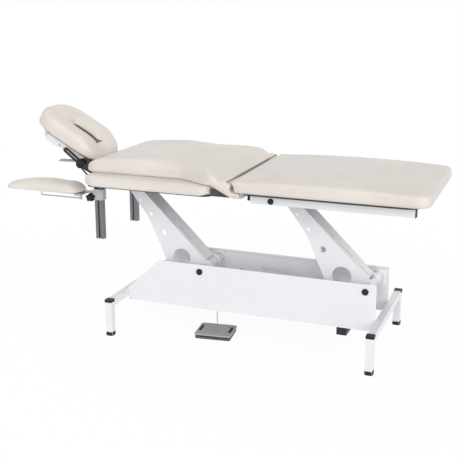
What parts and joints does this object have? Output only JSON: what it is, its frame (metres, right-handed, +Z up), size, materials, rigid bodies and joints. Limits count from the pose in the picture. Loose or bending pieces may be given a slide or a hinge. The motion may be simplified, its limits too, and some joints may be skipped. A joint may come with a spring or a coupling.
{
  "type": "electric massage table",
  "caption": "Padded treatment table on a parallel-arm electric lift, with a tilting back, a tilting head rest with a face slot, swing-out wings and adjustable armrests.",
  "frame": {"origin": "on the floor, under the middle of the table's length and width", "axes": "+Z up, +X towards the foot end, -Y towards the side with the pedal"},
  "size_m": [1.992, 0.698, 1.0169],
  "materials": {
    "white_steel": "white powder coat",
    "upholstery": "cream imitation leather",
    "board": "dark board",
    "black_plastic": "black plastic",
    "black_steel": "black paint",
    "rubber": "black rubber",
    "grey_plastic": "grey plastic",
    "pale_plastic": "pale grey plastic",
    "dark_plastic": "dark plastic",
    "cast_metal": "light grey paint",
    "aluminium": "anodised",
    "steel": "turned steel",
    "chrome": "chrome plate",
    "cord": "light grey cord"
  },
  "bodies": {
    "base": {"cross_tube_head": "white_steel", "lower_axle_head": "steel", "leg_head_front": "white_steel", "foot_head_front": "rubber", "leg_head_rear": "white_steel", "foot_head_rear": "rubber", "cross_tube_foot": "white_steel", "lower_axle_foot": "steel", "leg_foot_front": "white_steel", "foot_foot_front": "rubber", "leg_foot_rear": "white_steel", "foot_foot_rear": "rubber", "side_panel_front": "white_steel", "side_panel_rear": "white_steel", "base_caps": "black_plastic", "control_tray": "white_steel", "control_box": "dark_plastic", "actuator": "pale_plastic", "pedal_housing": "grey_plastic", "pedal_cord": "cord", "control_cord": "cord", "cord_coil": "cord"},
    "actuator_rod": {"actuator_rod": "steel"},
    "arm_head": {"arm_head": "white_steel"},
    "arm_foot": {"arm_foot": "white_steel"},
    "upper_frame": {"cradle": "white_steel", "side_rail_front": "white_steel", "side_rail_rear": "white_steel", "rail_caps": "black_plastic", "foot_member": "white_steel", "upper_axle_foot": "steel", "leg_board": "board", "leg_cushion": "upholstery"},
    "back": {"back_frame": "white_steel", "crossbar_caps": "black_plastic", "back_board": "board", "back_cushion": "upholstery", "head_hinge_front": "black_steel", "head_hinge_rear": "black_steel", "post_front": "aluminium", "post_rear": "aluminium"},
    "head": {"head_board": "board", "head_cushion": "upholstery", "head_frame": "white_steel", "head_bar_front": "black_steel", "head_bar_rear": "black_steel"},
    "head_lever": {"head_lever": "chrome"},
    "pedal_plate": {"pedal_plate": "grey_plastic"},
    "wing_front": {"wing_board_front": "board", "wing_pad_front": "upholstery"},
    "carriage_front": {"carriage_front": "cast_metal"},
    "knob_front": {"star_knob_front": "black_plastic"},
    "armrest_front": {"armrest_arm_front": "steel", "armrest_pad_front": "upholstery"},
    "wing_rear": {"wing_board_rear": "board", "wing_pad_rear": "upholstery"},
    "carriage_rear": {"carriage_rear": "cast_metal"},
    "knob_rear": {"star_knob_rear": "black_plastic"},
    "armrest_rear": {"armrest_arm_rear": "steel", "armrest_pad_rear": "upholstery"}
  },
  "joints": [
    {"name": "lift", "type": "hinge", "parent": "base", "child": "arm_head", "pos_m": [-0.065, 0, 0.302], "axis": [0, 1, 0], "range_deg": [-37, 30]},
    {"name": "lift_foot", "type": "hinge", "parent": "base", "child": "arm_foot", "pos_m": [0.71, 0, 0.302], "axis": [0, 1, 0], "range_deg": [-37, 30]},
    {"name": "frame_level", "type": "hinge", "parent": "arm_head", "child": "upper_frame", "pos_m": [-0.4561, 0, 0.6986], "axis": [0, 1, 0], "range_deg": [-30, 37]},
    {"name": "rod_stroke", "type": "slide", "parent": "base", "child": "actuator_rod", "axis": [-0.9903, 0, 0.1392], "range_m": [-0.0496, 0.0403]},
    {"name": "back_tilt", "type": "hinge", "parent": "upper_frame", "child": "back", "pos_m": [0.124, 0, 0.74], "axis": [0, 1, 0], "range_deg": [0, 50]},
    {"name": "head_tilt", "type": "hinge", "parent": "back", "child": "head", "pos_m": [-0.661, 0, 0.768], "axis": [0, 1, 0], "range_deg": [-49, 7]},
    {"name": "head_release", "type": "hinge", "parent": "head", "child": "head_lever", "pos_m": [-0.661, -0.093, 0.768], "axis": [0, 1, 0], "range_deg": [0, 12], "stiffness_Nm_per_rad": 0.5, "springref_deg": -17.19},
    {"name": "pedal_rock", "type": "hinge", "parent": "base", "child": "pedal_plate", "pos_m": [0.01, -0.126, 0.0152], "axis": [-0.1219, 0.9925, 0], "range_deg": [-3.5, 3.5], "stiffness_Nm_per_rad": 6},
    {"name": "wing_swing_front", "type": "hinge", "parent": "back", "child": "wing_front", "pos_m": [0.019, -0.283, 0.713], "axis": [0, 0, 1], "range_deg": [0, 25]},
    {"name": "carriage_slide_front", "type": "slide", "parent": "back", "child": "carriage_front", "axis": [0, 0, 1], "range_m": [-0.15, 0]},
    {"name": "knob_turn_front", "type": "hinge", "parent": "carriage_front", "child": "knob_front", "pos_m": [-0.5855, -0.204, 0.625], "axis": [0, 1, 0], "range_deg": [-180, 180]},
    {"name": "armrest_swivel_front", "type": "hinge", "parent": "carriage_front", "child": "armrest_front", "pos_m": [-0.611, -0.245, 0.651], "axis": [0, 0, 1], "range_deg": [0, 180]},
    {"name": "wing_swing_rear", "type": "hinge", "parent": "back", "child": "wing_rear", "pos_m": [0.019, 0.283, 0.713], "axis": [0, 0, -1], "range_deg": [0, 25]},
    {"name": "carriage_slide_rear", "type": "slide", "parent": "back", "child": "carriage_rear", "axis": [0, 0, 1], "range_m": [-0.15, 0]},
    {"name": "knob_turn_rear", "type": "hinge", "parent": "carriage_rear", "child": "knob_rear", "pos_m": [-0.5855, 0.204, 0.625], "axis": [0, 1, 0], "range_deg": [-180, 180]},
    {"name": "armrest_swivel_rear", "type": "hinge", "parent": "carriage_rear", "child": "armrest_rear", "pos_m": [-0.611, 0.245, 0.651], "axis": [0, 0, 1], "range_deg": [0, 180]}
  ],
  "couplings": [
    {"joint": "lift_foot", "follows": "lift", "ratio": 1},
    {"joint": "frame_level", "follows": "lift", "ratio": -1},
    {"joint": "rod_stroke", "follows": "lift", "m_per_rad": 0.0765}
  ]
}
